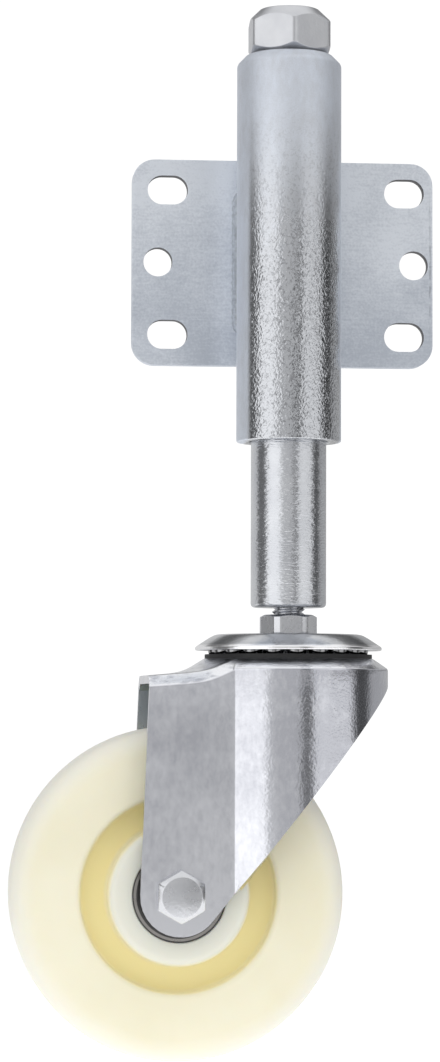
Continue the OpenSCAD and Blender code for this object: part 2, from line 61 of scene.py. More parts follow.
class Shade:
    """One socket of a node tree. Arithmetic on it adds Math nodes."""

    def __init__(self, tree, socket):
        self.tree = tree
        self.socket = socket

    def node(self, kind, settings=None, inputs=None, output=0):
        """One output of a new node. "stops" sets a grey ramp, and an input is a Shade or a constant."""
        made = self.tree.nodes.new(kind)
        for name, value in (settings or {}).items():
            if name == "stops":
                while len(made.color_ramp.elements) < len(value):
                    made.color_ramp.elements.new(0.5)
                for stop, (at, level) in zip(made.color_ramp.elements, value):
                    stop.position = at
                    stop.color = (level, level, level, 1.0)
            else:
                setattr(made, name, value)
        for name, value in (inputs or {}).items():
            if isinstance(value, Shade):
                self.tree.links.new(value.socket, made.inputs[name])
            else:
                made.inputs[name].default_value = value
        return Shade(self.tree, made.outputs[output])

    def math(self, operation, first, second=0.0):
        """A Math node on one or two values."""
        return self.node("ShaderNodeMath", {"operation": operation}, {0: first, 1: second})

    def __add__(self, other):
        return self.math("ADD", self, other)

    def __sub__(self, other):
        return self.math("SUBTRACT", self, other)

    def __rsub__(self, other):
        return self.math("SUBTRACT", other, self)

    def __mul__(self, other):
        return self.math("MULTIPLY", self, other)

    def part(self, index):
        """The X, Y or Z of a vector."""
        return self.node("ShaderNodeSeparateXYZ", inputs={0: self}, output=index)

    def flat_length(self, kept):
        """The length of a vector, with only its kept parts counted."""
        flat = self.node("ShaderNodeVectorMath", {"operation": "MULTIPLY"}, {0: self, 1: kept})
        return flat.node("ShaderNodeVectorMath", {"operation": "LENGTH"}, {0: flat}, output=1)

    def step(self, start, end):
        """0 up to start, 1 past end, and smooth between them."""
        return self.node(
            "ShaderNodeMapRange",
            {"interpolation_type": "SMOOTHSTEP"},
            {"Value": self, "From Min": start, "From Max": end},
        )

    def moved(self, centre=(0.0, 0.0, 0.0), scale=(1.0, 1.0, 1.0), turn=(0.0, 0.0, 0.0)):
        """Coordinates measured from a centre, then turned and stretched."""
        return self.node(
            "ShaderNodeMapping",
            {"vector_type": "TEXTURE"},
            {"Vector": self, "Location": centre, "Rotation": turn, "Scale": scale},
        )

    def noise(self, size, detail=2.0, roughness=0.5, distortion=0.0):
        """Soft random patches of about the given size in metres."""
        inputs = {"Vector": self, "Scale": 1.0 / size, "Detail": detail}
        inputs["Roughness"] = roughness
        inputs["Distortion"] = distortion
        return self.node("ShaderNodeTexNoise", {"noise_dimensions": "3D"}, inputs)

    def tint(self, low, high):
        """A colour between two, by this value. Each end is three numbers or another tint."""
        ends = [end if isinstance(end, Shade) else (*end, 1.0) for end in (low, high)]
        inputs = {0: self, 6: ends[0], 7: ends[1]}
        return self.node("ShaderNodeMix", {"data_type": "RGBA"}, inputs, output=2)

    def bump(self, depth):
        """A normal bent by this height, which is depth metres at 1."""
        return self.node("ShaderNodeBump", inputs={"Height": self, "Distance": depth, "Strength": 1.0})

    def feed(self, shader, socket):
        """Wires this value to a socket of the shader."""
        self.tree.links.new(self.socket, shader.inputs[socket])


def new_finish(name, constants):
    """A material, its Principled shader with constants set, and its Object coordinates."""
    finish = bpy.data.materials.new(name)
    finish.use_nodes = True
    tree = finish.node_tree
    shader = tree.nodes["Principled BSDF"]
    for socket, value in constants.items():
        shader.inputs[socket].default_value = value
    place = Shade(tree, tree.nodes.new("ShaderNodeTexCoord").outputs["Object"])
    return finish, shader, place


def add_piece(name, mesh, finish, body, slot, *nodes, sharp_deg=38, second_finish=None):
    """Makes a mesh the object that stands for the named nodes, and fixes it to its body."""
    data = bpy.data.meshes.new(name)
    mesh.to_mesh(data)
    mesh.free()
    data.shade_smooth()
    data.set_sharp_from_angle(angle=math.radians(sharp_deg))
    data.materials.append(finish)
    if second_finish:
        data.materials.append(second_finish)
    piece = bpy.data.objects.new(name, data)
    bpy.context.scene.collection.objects.link(piece)
    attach(piece, body)
    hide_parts(*nodes)
    return piece


def sharp_edges(mesh, least_deg=60):
    """Edges at which two faces meet at a clear angle."""
    folded = [edge for edge in mesh.edges if len(edge.link_faces) == 2]
    return [edge for edge in folded if edge.calc_face_angle() > math.radians(least_deg)]


def soften(mesh, edges, width, segments):
    """Rounds the edges over."""
    bmesh.ops.bevel(
        mesh, geom=edges, offset=width, offset_type="OFFSET", affect="EDGES",
        segments=segments, profile=0.5, material=-1, clamp_overlap=True,
    )


plate_low, plate_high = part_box("mounting_plate")
plate_t = plate_high.y - plate_low.y
plate_corner = 0.007
plate_roll = 0.0006
plate_burr = 0.0002
plate_strip = 0.0009
window_steps = 10
hole_steps = 48
round_end = 0.499
close = 1e-6
mounts = {mount["name"]: mount for mount in frame["record"]["mounts"]}
slot_pattern = mounts["plate_slots"]["dims"]
hole_pattern = mounts["side_holes"]["dims"]
pattern_at = Vector(mounts["plate_slots"]["pos_m"])
mm = 0.001


def add_window(mesh, at_x, at_z, width, height, radius):
    """A rectangle with round corners, on the plate's front plane."""
    flat = Matrix.Translation((at_x, plate_low.y, at_z)) @ Matrix.Rotation(math.pi / 2, 4, "X")
    made = bmesh.ops.create_grid(
        mesh, x_segments=1, y_segments=1, size=0.5,
        matrix=flat @ Matrix.Diagonal((width, height, 1.0, 1.0)),
    )
    bmesh.ops.bevel(
        mesh, geom=made["verts"], offset=radius, offset_type="OFFSET", affect="VERTICES",
        segments=window_steps, profile=0.5, material=-1,
    )


def verts_of(parts):
    """The vertices among the parts that an operator made."""
    return [part for part in parts if isinstance(part, bmesh.types.BMVert)]


plate = bmesh.new()
add_window(plate, 0.0, 0.0, plate_high.x - plate_low.x, plate_high.z - plate_low.z, plate_corner)
slot_w = slot_pattern["slot_length_mm"] * mm
slot_h = slot_pattern["hole_r_mm"] * 2 * mm
hole_r = hole_pattern["hole_r_mm"] * mm
for side in (-1, 1):
    for level in (-1, 1):
        slot_x = pattern_at.x + side * slot_pattern["spacing_x_mm"] * mm / 2
        slot_z = level * slot_pattern["spacing_y_mm"] * mm / 2
        add_window(plate, slot_x, slot_z, slot_w, slot_h, slot_h * round_end)
    hole_x = pattern_at.x + side * hole_pattern["spacing_x_mm"] * mm / 2
    hole_at = Matrix.Translation((hole_x, plate_low.y, 0.0)) @ Matrix.Rotation(math.pi / 2, 4, "X")
    bmesh.ops.create_circle(plate, segments=hole_steps, radius=hole_r, matrix=hole_at)
bmesh.ops.delete(plate, geom=plate.faces[:], context="FACES_ONLY")
bmesh.ops.triangle_fill(plate, use_beauty=True, edges=plate.edges[:])
bmesh.ops.inset_region(
    plate, faces=plate.faces[:], thickness=plate_strip, use_boundary=True, use_even_offset=True
)
grown = bmesh.ops.extrude_face_region(plate, geom=plate.faces[:])["geom"]
bmesh.ops.translate(plate, verts=verts_of(grown), vec=(0.0, plate_t, 0.0))
bmesh.ops.recalc_face_normals(plate, faces=plate.faces[:])
# The walls of the slots and holes take the second finish, which is darkened as painted shade.
for face in plate.faces:
    middle = face.calc_center_median()
    past_x = max(abs(middle.x) - plate_high.x + plate_corner, 0.0)
    past_z = max(abs(middle.z) - plate_high.z + plate_corner, 0.0)
    if abs(face.normal.y) < 0.5 and math.hypot(past_x, past_z) < plate_corner - plate_strip:
        face.material_index = 1
for at_y, width, segments in ((plate_low.y, plate_roll, 4), (plate_high.y, plate_burr, 2)):
    rim = [edge for edge in sharp_edges(plate) if all(abs(v.co.y - at_y) < close for v in edge.verts)]
    soften(plate, rim, width, segments)

metal = {"Metallic": 1.0}
zinc_blue = (0.62, 0.665, 0.74)
zinc_pale = (0.87, 0.91, 0.97)
wall_shade_dark = (0.07, 0.07, 0.075)
wall_shade_pale = (0.16, 0.16, 0.17)
plate_zinc, shader, place = new_finish("plate_zinc", metal)
cloud = place.noise(0.022, detail=4.0)
streak = place.moved(scale=(6.0, 1.0, 1.0)).noise(0.0008, detail=3.0)
# Paler towards the top of the plate: painted light from above, added to its random patches.
level = place.part(2).step(plate_low.z, plate_high.z)
grain = place.noise(0.0007, detail=3.0)
plate_patches_and_top_light = cloud * 1.6 + streak * 0.8 + grain * 1.2 + level * 0.7 - 1.57
plate_patches_and_top_light.tint(zinc_blue, zinc_pale).feed(shader, "Base Color")
(cloud * 0.12 + grain * 0.14 + 0.36).feed(shader, "Roughness")
(grain + place.noise(0.003, detail=2.0) + streak * 0.4).bump(0.00005).feed(shader, "Normal")
# Near-black steel for the slot and hole walls: their sheared steel, darkened as painted shade inside the holes.
sheared_wall_shade, shader, place = new_finish("sheared_wall_shade", metal)
tear = place.moved(scale=(1.0, 6.0, 1.0)).noise(0.0007, detail=3.0)
tear.tint(wall_shade_dark, wall_shade_pale).feed(shader, "Base Color")
(tear * 0.2 + 0.45).feed(shader, "Roughness")
add_piece(
    "punched_plate", plate, plate_zinc, "housing", "zinc_plate", "mounting_plate",
    second_finish=sheared_wall_shade,
)

# Guide tube
# A length of thick-walled drawn tube, faced and chamfered at its top end and welded to the plate.
# Zinc plated: matte at the turned top and along both sides, and coarsely grained further down.


def placed(mesh, at):
    """Moves a mesh to its place."""
    bmesh.ops.transform(mesh, matrix=at, verts=mesh.verts[:])
    return mesh


def turned(outline, at, steps=128):
    """A closed half section of (radius, height, corner rounding) points, spun once round its axis."""
    mesh = bmesh.new()
    corners = [mesh.verts.new((radius, 0.0, height)) for radius, height, rounding in outline]
    mesh.faces.new(corners)
    for corner, (radius, height, rounding) in zip(corners, outline):
        if rounding:
            bmesh.ops.bevel(
                mesh, geom=[corner], offset=rounding, offset_type="OFFSET", affect="VERTICES",
                segments=5, profile=0.5, material=-1,
            )
    bmesh.ops.delete(mesh, geom=mesh.faces[:], context="FACES_ONLY")
    on_axis = [edge for edge in mesh.edges if all(vert.co.x < close for vert in edge.verts)]
    bmesh.ops.delete(mesh, geom=on_axis, context="EDGES")
    bmesh.ops.spin(
        mesh, geom=mesh.verts[:] + mesh.edges[:], cent=(0.0, 0.0, 0.0), axis=(0.0, 0.0, 1.0),
        angle=2 * math.pi, steps=steps, use_merge=True,
    )
    bmesh.ops.remove_doubles(mesh, verts=mesh.verts[:], dist=close)
    bmesh.ops.recalc_face_normals(mesh, faces=mesh.faces[:])
    return placed(mesh, at)


joints = {joint["name"]: joint for joint in frame["joints"]}
slide_at = Vector(joints["rod_slide"]["pos_m"])
upright = Matrix.Translation((slide_at.x, slide_at.y, 0.0))
tube_low, tube_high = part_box("guide_tube")
plug_low, plug_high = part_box("tube_plug")
tube_r = (tube_high.y - tube_low.y) / 2
bore_r = (plug_high.y - plug_low.y) / 2
tube_land = 0.001
tube_chamfer = 0.0029
tube_outline = (
    (bore_r, tube_low.z, 0.0005),
    (tube_r, tube_low.z, 0.0006),
    (tube_r, tube_high.z - tube_chamfer, 0.0007),
    (bore_r + tube_land, tube_high.z, 0.0004),
    (bore_r, tube_high.z, 0.0),
)
grain_starts = 0.056
grain_full = -0.016
smooth_side = 0.83
side_fade = 0.09
grain_shift = 0.0009
matte_pale = (0.765, 0.805, 0.875)
grained_dark = (0.61, 0.625, 0.655)
speck_dark = (0.20, 0.205, 0.215)
stroke_stretch = (1.0, 1.0, 1.9)
left_lean = math.radians(32)
right_lean = math.radians(-28)
grained_zinc, shader, place = new_finish("grained_zinc", metal)
grained = 1 - place.part(2).step(grain_full, grain_starts)
aside = place.math("ABSOLUTE", place.part(0) - slide_at.x - grain_shift)
grained = grained * (1 - aside.step(tube_r * smooth_side, tube_r * (smooth_side + side_fade)))
left_slant = place.moved((0.0, slide_at.y, 0.0), stroke_stretch, (0.0, left_lean, 0.0))
right_slant = place.moved((0.0, slide_at.y, 0.0), stroke_stretch, (0.0, right_lean, 0.0))
stroke = left_slant.noise(0.0006, detail=1.0) + right_slant.noise(0.0007, detail=1.0)
fine = place.noise(0.0004, detail=2.0)
cloud = place.noise(0.014, detail=3.0)
mottle = place.moved((0.0, slide_at.y, 0.0), (1.0, 1.0, 2.5)).noise(0.0018, detail=4.0)
plated = (grained + cloud * 0.6 + fine * 0.5 + mottle * 0.8 - 0.8).tint(matte_pale, grained_dark)
speck = place.noise(0.0011, 3.0, 0.65, 0.8).step(0.52, 0.62) * grained * 0.5
speck.tint(plated, speck_dark).feed(shader, "Base Color")
(0.60 - grained * 0.50 + fine * 0.06).feed(shader, "Roughness")
((stroke * 0.5 + fine * 0.1) * (grained * 0.8 + 0.2)).bump(0.00024).feed(shader, "Normal")
add_piece("drawn_tube", turned(tube_outline, upright), grained_zinc, "housing", "zinc_tube", "guide_tube")

# Weld beads
# One run of weld down each side of the tube, laid in the corner where it meets the plate.
# Each ripple is a puddle that froze against the one before; plated over with the rest.


def close_up(mesh):
    """Merges doubled points, fills the open ends and turns every face outwards."""
    bmesh.ops.remove_doubles(mesh, verts=mesh.verts[:], dist=close)
    open_edges = [edge for edge in mesh.edges if edge.is_boundary]
    bmesh.ops.holes_fill(mesh, edges=open_edges, sides=0)
    bmesh.ops.recalc_face_normals(mesh, faces=mesh.faces[:])


weld_low, weld_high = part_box("weld_beads")
bead_r = weld_high.y - weld_low.y
bead_x = weld_high.x - bead_r
bead_half = (weld_high.z - weld_low.z) / 2
ripple_pitch = 0.0021
ripple_deep = 0.05
ripple_lag = 0.5
weld_dark = (0.44, 0.46, 0.49)
weld_pale = (0.60, 0.63, 0.67)
along_steps = 240
around_steps = 28
beads = bmesh.new()
for side in (-1, 1):
    made = bmesh.ops.create_grid(beads, x_segments=around_steps, y_segments=along_steps, size=1.0)
    for vert in made["verts"]:
        turn = (vert.co.x + 1.0) * math.pi / 2
        run = vert.co.y
        lag = ripple_lag * math.cos(turn) ** 2
        scallop = abs(math.sin(math.pi * (run * bead_half / ripple_pitch - lag)))
        past_end = max(abs(run) * bead_half - bead_half + bead_r, 0.0)
        taper = math.sqrt(max(1.0 - past_end**2 / bead_r**2, 0.0))
        reach = bead_r * taper * (1.0 - ripple_deep * (1.0 - scallop))
        vert.co = (
            side * bead_x + reach * math.cos(turn),
            weld_high.y - reach * math.sin(turn),
            run * bead_half,
        )
close_up(beads)
weld_zinc, shader, place = new_finish("weld_zinc", metal)
spatter = place.noise(0.0016, detail=3.0)
spatter.step(0.35, 0.7).tint(weld_dark, weld_pale).feed(shader, "Base Color")
(spatter * 0.2 + 0.38).feed(shader, "Roughness")
spatter.bump(0.00008).feed(shader, "Normal")
add_piece("weld_runs", beads, weld_zinc, "housing", "zinc_plate", "weld_beads", sharp_deg=70)

# Tube plug
# A turned steel ring set in the top end of the tube. The spring pushes on its lower face and the
# spindle slides through it, so it is left plain and lightly greased.


def dress(node, finish):
    """Gives a solid of the frame its finish."""
    for material_slot in frame["nodes"][node].material_slots:
        material_slot.material = finish


def patchy_finish(name, constants, patch, dark, pale, rough, rough_swing, detail=3.0):
    """A plain finish with soft patches, rougher where they are paler; returns its material."""
    finish, shader, place = new_finish(name, constants)
    film = place.noise(patch, detail=detail)
    film.tint(dark, pale).feed(shader, "Base Color")
    (film * rough_swing + rough).feed(shader, "Roughness")
    return finish


plain_steel = patchy_finish(
    "plain_steel", metal, patch=0.004,
    dark=(0.40, 0.41, 0.43), pale=(0.56, 0.57, 0.59), rough=0.24, rough_swing=0.2,
)
dress("tube_plug", plain_steel)

# Compression spring
# Hard-drawn spring wire coiled round the spindle, with one closed turn at each end.
# It stands on the rod's shoulder and shortens against the plug as the wheel rides up.
coil_low, coil_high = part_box("spring")
wire_r = 0.0016
coil_r = coil_high.x - wire_r
coil_length = coil_high.z - coil_low.z
coil_turns = 11
turn_steps = 36
wire_steps = 14
closed_rise = 2 * wire_r
open_rise = (coil_length - 2 * wire_r - 2 * closed_rise) / (coil_turns - 2)
coil = bmesh.new()
wire_at = Matrix.Translation((coil_r, 0.0, coil_low.z + wire_r)) @ Matrix.Rotation(math.pi / 2, 4, "X")
bmesh.ops.create_circle(coil, segments=wire_steps, radius=wire_r, matrix=wire_at)
leading = coil.verts[:] + coil.edges[:]
for turns, rise in ((1, closed_rise), (coil_turns - 2, open_rise), (1, closed_rise)):
    leading = bmesh.ops.spin(
        coil, geom=leading, cent=(0.0, 0.0, 0.0), axis=(0.0, 0.0, 1.0),
        dvec=(0.0, 0.0, rise / turn_steps), angle=2 * math.pi * turns, steps=turn_steps * turns,
    )["geom_last"]
close_up(coil)
spring_wire = patchy_finish(
    "spring_wire", metal, patch=0.002,
    dark=(0.16, 0.16, 0.17), pale=(0.30, 0.30, 0.31), rough=0.25, rough_swing=0.2,
)
coil_piece = add_piece(
    "coil_spring", placed(coil, upright), spring_wire, "housing", "spring_steel", "spring"
)
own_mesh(coil_piece)

# Slide rod
# One bar turned from the solid: a thick rod that slides in the tube, and above its shoulder the
# thin spindle that the spring sits round. Bright zinc over fine turning marks.


def zinc_finish(name, patch, dark, pale, rough, rough_swing):
    """Bright zinc plating with soft patches; returns its material, shader and coordinates."""
    finish, shader, place = new_finish(name, metal)
    cloud = place.noise(patch, detail=4.0)
    cloud.step(0.3, 0.7).tint(dark, pale).feed(shader, "Base Color")
    haze = place.noise(patch * 0.4, detail=3.0)
    (haze * rough_swing + rough).feed(shader, "Roughness")
    return finish, shader, place


rod_low, rod_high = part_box("slide_rod")
pin_low, pin_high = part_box("king_pin")
rod_r = rod_high.x - slide_at.x
stem_r = 0.005
spindle_r = 0.008
rod_shoulder = coil_low.z
rod_chamfer = 0.0012
rod_outline = (
    (0.0, pin_high.z, 0.0),
    (stem_r, pin_high.z, 0.0),
    (stem_r, rod_low.z, 0.0),
    (rod_r, rod_low.z, rod_chamfer),
    (rod_r, rod_shoulder, 0.0005),
    (spindle_r, rod_shoulder, 0.0),
    (spindle_r, rod_high.z, 0.0008),
    (0.0, rod_high.z, 0.0),
)
turned_zinc, shader, place = zinc_finish(
    "turned_zinc", patch=0.012,
    dark=(0.62, 0.635, 0.67), pale=(0.69, 0.705, 0.735), rough=0.19, rough_swing=0.06,
)
ring = place.moved((slide_at.x, slide_at.y, 0.0), (60.0, 60.0, 1.0)).noise(0.0005, detail=2.0)
fleck = place.moved((slide_at.x, slide_at.y, 0.0), (4.0, 4.0, 1.0)).noise(0.0005, detail=2.0)
(ring * 0.2 + fleck * 0.8).bump(0.00026).feed(shader, "Normal")
add_piece("turned_rod", turned(rod_outline, upright), turned_zinc, "rod", "bright_zinc", "slide_rod")

# Top nut
# A tall hexagon nut on the spindle's end, turned to a heavy chamfer above and a light one below.
# It seats on the tube's end, holds the spring's preload and stops the rod. Zinc plated.
flat_cuts = 13
mouth_share = 1.06
hex_edge_deg = 25
hex_round = 0.00018


def hexagon(across, tall, bore, low_end, high_end, corner, corner_steps=5):
    """A hexagon on z = 0 with corners on the X axis. Each end is (face share, cone depth)."""
    mesh = bmesh.new()
    corner_r = across / math.sqrt(3)
    for step in range(6):
        turn = math.radians(60 * step)
        mesh.verts.new((corner_r * math.cos(turn), corner_r * math.sin(turn), 0.0))
    mesh.faces.new(mesh.verts[:])
    bmesh.ops.bevel(
        mesh, geom=mesh.verts[:], offset=corner, offset_type="OFFSET", affect="VERTICES",
        segments=corner_steps, profile=0.5, material=-1,
    )
    bmesh.ops.delete(mesh, geom=mesh.faces[:], context="FACES_ONLY")
    flats = [edge for edge in mesh.edges if edge.calc_length() > corner_r / 4]
    bmesh.ops.subdivide_edges(mesh, edges=flats, cuts=flat_cuts)
    low_r = low_end[0] * across / 2
    high_r = high_end[0] * across / 2

    def cone(radius, face_r, deep):
        return deep * max(radius - face_r, 0.0) / (corner_r - face_r)

    def next_ring(edges, radius, level):
        """Draws the ring of edges out to a radius and level; None keeps each point's own radius."""
        made = bmesh.ops.extrude_edge_only(mesh, edges=edges)["geom"]
        verts = set(verts_of(made))
        for vert in verts:
            own = vert.co.xy.length
            share = 1.0 if radius is None else radius / own
            vert.co = (vert.co.x * share, vert.co.y * share, level(own))
        edges = [part for part in made if isinstance(part, bmesh.types.BMEdge)]
        return [edge for edge in edges if all(vert in verts for vert in edge.verts)]

    for vert in mesh.verts:
        vert.co.z = cone(vert.co.xy.length, low_r, low_end[1])
    low_ring = mesh.edges[:]
    ring = next_ring(low_ring, None, lambda own: tall - cone(own, high_r, high_end[1]))
    ring = next_ring(ring, high_r, lambda own: tall)
    next_ring(low_ring, low_r, lambda own: 0.0)
    if bore:
        mouth = bore * mouth_share
        ring = next_ring(ring, mouth, lambda own: tall)
        ring = next_ring(ring, bore, lambda own: tall - mouth + bore)
        ring = next_ring(ring, bore, lambda own: mouth - bore)
        ring = next_ring(ring, mouth, lambda own: 0.0)
        next_ring(ring, low_r, lambda own: 0.0)
    close_up(mesh)
    soften(mesh, sharp_edges(mesh, hex_edge_deg), hex_round, 2)
    return mesh


nut_low, nut_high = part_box("top_nut")
nut_turn = math.radians(30)
nut_across = nut_high.x - nut_low.x
nut_tall = nut_high.z - nut_low.z
nut_corner = 0.0009
nut_seat = (0.9, 0.0024)
nut_crown = (0.76, 0.0046)
nut_at = Matrix.Translation((slide_at.x, slide_at.y, nut_low.z)) @ Matrix.Rotation(nut_turn, 4, "Z")
top_nut = placed(hexagon(nut_across, nut_tall, spindle_r, nut_seat, nut_crown, nut_corner), nut_at)
satin_zinc, shader, place = zinc_finish(
    "satin_zinc", patch=0.007,
    dark=(0.63, 0.64, 0.67), pale=(0.69, 0.70, 0.725), rough=0.34, rough_swing=0.12,
)
place.noise(0.0009, detail=3.0).bump(0.00004).feed(shader, "Normal")
add_piece("stop_nut", top_nut, satin_zinc, "rod", "bright_zinc", "top_nut", sharp_deg=12)

# Jam nut
# A thin hexagon nut with its corners turned down, cold formed in steel and zinc plated bright.
# It is run up the caster's stem to lock it in the rod.
jam_low, jam_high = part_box("jam_nut")
jam_across = jam_high.y - jam_low.y
jam_tall = jam_high.z - jam_low.z
jam_corner = 0.00115
jam_seat = (0.97, 0.0006)
jam_crown = (0.92, 0.001)
jam_at = Matrix.Translation((slide_at.x, slide_at.y, jam_low.z))
jam_nut = placed(hexagon(jam_across, jam_tall, stem_r, jam_seat, jam_crown, jam_corner, 1), jam_at)
nut_zinc, shader, place = zinc_finish(
    "nut_zinc", patch=0.009,
    dark=(0.64, 0.65, 0.68), pale=(0.71, 0.72, 0.745), rough=0.22, rough_swing=0.10,
)
place.noise(0.0009, detail=3.0).bump(0.00003).feed(shader, "Normal")
add_piece("lock_nut", jam_nut, nut_zinc, "rod", "bright_zinc", "jam_nut", sharp_deg=12)

# King pin
# The caster's stem and pivot in one: a screw thread above, a plain shank through both ball races,
# and a head closed over under the lower race. Zinc plated.
deep_share = 0.6
flat_share = 0.1
thread_steps = 48


def threaded(outer_r, low, high, pitch):
    """A screw thread round Z: the zig-zag of its ridges is spun one turn while it climbs a pitch."""
    mesh = bmesh.new()
    root_r = outer_r - pitch * deep_share
    flat = pitch * flat_share
    outline = []
    for ridge in range(int((high - low) / pitch)):
        root = low + ridge * pitch
        crest = root + pitch / 2
        outline += [(root_r, root), (root_r, root + flat)]
        outline += [(outer_r, crest), (outer_r, crest + flat)]
    points = [mesh.verts.new((radius, 0.0, level)) for radius, level in outline]
    for first, second in zip(points, points[1:]):
        mesh.edges.new((first, second))
    bmesh.ops.spin(
        mesh, geom=mesh.verts[:] + mesh.edges[:], cent=(0.0, 0.0, 0.0), axis=(0.0, 0.0, 1.0),
        dvec=(0.0, 0.0, pitch / thread_steps), angle=2 * math.pi, steps=thread_steps,
    )
    close_up(mesh)
    return mesh


def join(target, added):
    """Adds one mesh's shells to another's."""
    spare = bpy.data.meshes.new("spare")
    added.to_mesh(spare)
    added.free()
    target.from_mesh(spare)
    bpy.data.meshes.remove(spare)


race_low, race_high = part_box("top_race")
under_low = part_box("lower_race")[0]
stem_pitch = 0.0015
stem_root_r = stem_r - stem_pitch * deep_share
race_t = 0.0022
shank_r = 0.007
head_r = pin_high.x - slide_at.x
race_under = race_high.z - race_t
pin_outline = (
    (0.0, pin_low.z, 0.0),
    (head_r, pin_low.z, 0.0012),
    (head_r, under_low.z, 0.0),
    (shank_r, under_low.z, 0.0),
    (shank_r, race_under, 0.0),
    (stem_root_r, race_under, 0.0),
    (stem_root_r, pin_high.z, 0.0),
    (0.0, pin_high.z, 0.0),
)
pin = turned(pin_outline, Matrix.Identity(4), steps=64)
join(pin, threaded(stem_r, race_under, pin_high.z - stem_pitch, stem_pitch))
add_piece("threaded_pin", placed(pin, upright), nut_zinc, "rod", "bright_zinc", "king_pin", sharp_deg=50)

# Swivel races and balls
# A dished cap pressed from sheet runs on a ring of balls over the crown, and a flat ring runs on
# smaller balls under it. The cap is bright zinc; the balls are polished bearing steel.
cap_r = race_high.x - slide_at.x
cap_flat_r = 0.022
cap_shoulder = 0.002
cap_shoulder_drop = 0.001
lip_floor = 0.002
lip_t = 0.001
lip_wide = 0.0012
cap_dark = (0.50, 0.515, 0.54)
cap_pale = (0.64, 0.65, 0.67)
lip_highlight_pale = (0.95, 0.95, 0.97)
in_plan = (1.0, 1.0, 0.0)
balls_low, balls_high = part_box("upper_balls")
ball_r = (balls_high.z - balls_low.z) / 2
ball_ring_r = balls_high.x - ball_r
track_half = 0.0014
track_deep = 0.0004
cap_outline = (
    (stem_r, race_under, 0.0),
    (ball_ring_r - track_half, race_under, 0.0),
    (ball_ring_r, race_under + track_deep, 0.0008),
    (ball_ring_r + track_half, race_under, 0.0006),
    (cap_r - lip_floor, race_low.z, 0.0004),
    (cap_r, race_low.z, 0.0004),
    (cap_r, race_low.z + lip_t, 0.0004),
    (cap_flat_r + cap_shoulder, race_high.z - cap_shoulder_drop, 0.0012),
    (cap_flat_r, race_high.z, 0.0012),
    (stem_r, race_high.z, 0.0),
)
cap_zinc, shader, place = new_finish("cap_zinc", metal)
pressed = place.noise(0.008, detail=4.0).step(0.3, 0.7).tint(cap_dark, cap_pale)
reach = place.moved((slide_at.x, slide_at.y, 0.0)).flat_length(in_plan)
# The cap's lip is painted near-white: a painted highlight along its rim.
lip_highlight = reach.step(cap_r - lip_wide, cap_r - lip_wide / 2)
lip_highlight.tint(pressed, lip_highlight_pale).feed(shader, "Base Color")
(place.noise(0.0032, detail=3.0) * 0.14 + 0.12).feed(shader, "Roughness")
place.noise(0.0018, detail=3.0).bump(0.00004).feed(shader, "Normal")
add_piece("race_cap", turned(cap_outline, upright, 160), cap_zinc, "rod", "bright_zinc", "top_race")

ball_steel = patchy_finish(
    "ball_steel", metal, patch=0.003,
    dark=(0.26, 0.265, 0.27), pale=(0.42, 0.42, 0.43), rough=0.05, rough_swing=0.1,
)
dark_steel = patchy_finish(
    "dark_steel", metal, patch=0.004, detail=4.0,
    dark=(0.22, 0.22, 0.225), pale=(0.40, 0.40, 0.41), rough=0.25, rough_swing=0.2,
)
for node in ("upper_balls", "lower_balls"):
    dress(node, ball_steel)
dress("lower_race", dark_steel)

# Fork
# One sheet of mild steel, drawn to a round crown and folded down into two legs. The crown's skirt
# runs into the flat legs at a crease, behind it lies a lower shelf, and the edges are sheared.
# Bright zinc with the faint orange peel of the draw.
fork_low, fork_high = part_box("fork")
sleeve_low, sleeve_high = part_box("axle_sleeve")
axle_at = Vector(joints["wheel_spin"]["pos_m"])
fork_t = 0.0025
crown_r = fork_high.x - slide_at.x
crown_top = fork_high.z
leg_face = (sleeve_high.y - sleeve_low.y) / 2 + fork_t
leg_end_r = axle_at.z - fork_low.z
shoulder_w = 0.0048
shoulder_h = 0.0033
shoulder_blend = 0.0003
low_round = 0.00063
high_round = 0.00093
crease_r = 0.0018
shelf_drop = 0.0053
shelf_reach = 0.044
shelf_slope = math.tan(math.radians(4))
shelf_blend = 0.0018
lip_drop = 0.008
behind_crown = 1.04
wall_rows = 6
top_rows = 28
shelf_steps = 8
leg_steps = 30
crease_steps = 6
skirt_steps = 48


def rounded(corner, before, after, count):
    """Points round a corner, from one side of it to the other."""
    shares = [step / count for step in range(count + 1)]
    return [before.lerp(corner, share).lerp(corner.lerp(after, share), share) for share in shares]


# The folded edge as (distance in from the wall, drop below the top), from the wall up to the top
low_corner = Vector((0.0, shoulder_h))
high_corner = Vector((shoulder_w, 0.0))
upward = (high_corner - low_corner).normalized()
fold = rounded(low_corner, low_corner + Vector((0.0, low_round)), low_corner + upward * low_round, 4)
fold += rounded(high_corner, high_corner - upward * high_round, high_corner + Vector((high_round, 0.0)), 5)
fold_in = fold[-1].x
fold_drop = fold[0].y
fold_rows = len(fold) - 1
half_rows = wall_rows + fold_rows + top_rows


def larger(first, second, blend):
    """The larger of two lengths, rounded off where they cross."""
    gap = first - second
    return second + (gap + math.hypot(gap, blend)) / 2


def crown_height(x, y):
    """The sheet's top: a flat round crown with a sloping shoulder, run smoothly into the rear shelf."""
    inset = crown_r - math.hypot(x, y)
    dome = crown_top - larger(shoulder_h * (1.0 - inset / shoulder_w), 0.0, shoulder_blend)
    shelf = crown_top - shelf_drop + (min(x, -crown_r / 2) + shelf_reach) * shelf_slope
    return larger(dome, shelf, shelf_blend)


def mixed(first, second, share):
    """The value at a share of the way from first to second."""
    return first + (second - first) * share


crease_out = leg_face + crease_r
crease_x = -math.sqrt((crown_r + crease_r) ** 2 - crease_out**2)
crease_end = math.atan2(-crease_out, crease_x) + 2 * math.pi
crease_centre = Vector((crease_x, -crease_out))
crown_back = -crown_r * behind_crown

